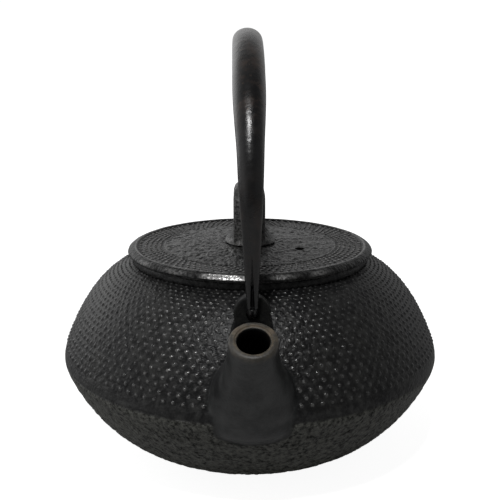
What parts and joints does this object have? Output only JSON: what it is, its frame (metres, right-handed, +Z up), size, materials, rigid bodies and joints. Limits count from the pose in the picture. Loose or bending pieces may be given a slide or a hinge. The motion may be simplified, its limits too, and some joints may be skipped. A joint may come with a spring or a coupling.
{
  "type": "cast iron teapot",
  "caption": "Wide, flat cast iron teapot with a hobnail shoulder, short spout, flat lid with a loop knob, folding bow handle and lift-out tea strainer.",
  "frame": {"origin": "centre of the flat base, on the body's axis", "axes": "+Z up along the body's axis, -Y towards the spout, X across"},
  "size_m": [0.153, 0.1707, 0.1678],
  "materials": {
    "black_cast_iron": "rough sand-cast skin, dull black, worn slightly bright on edges and dots",
    "blackened_steel": "semi-gloss black, rubbed brownish where it is held",
    "stainless_steel": "woven mesh and brushed sheet"
  },
  "bodies": {
    "kettle": {"kettle_body": "black_cast_iron"},
    "handle": {"handle_bow": "blackened_steel", "front_hook": "blackened_steel", "rear_hook": "blackened_steel"},
    "strainer": {"strainer_collar": "stainless_steel", "strainer_mesh_wall": "stainless_steel", "strainer_mesh_floor": "stainless_steel", "strainer_base_band": "stainless_steel"},
    "lid": {"lid_plate": "black_cast_iron", "lid_knob": "black_cast_iron", "knob_washer": "blackened_steel"}
  },
  "joints": [
    {"name": "handle_fold", "type": "hinge", "parent": "kettle", "child": "handle", "pos_m": [0, 0, 0.0745], "axis": [0, 1, 0], "range_deg": [-112, 112]},
    {"name": "strainer_lift", "type": "slide", "parent": "kettle", "child": "strainer", "axis": [0, 0, 1], "range_m": [0, 0.045]},
    {"name": "lid_lift", "type": "slide", "parent": "strainer", "child": "lid", "axis": [0, 0, 1], "range_m": [0, 0.045]}
  ]
}
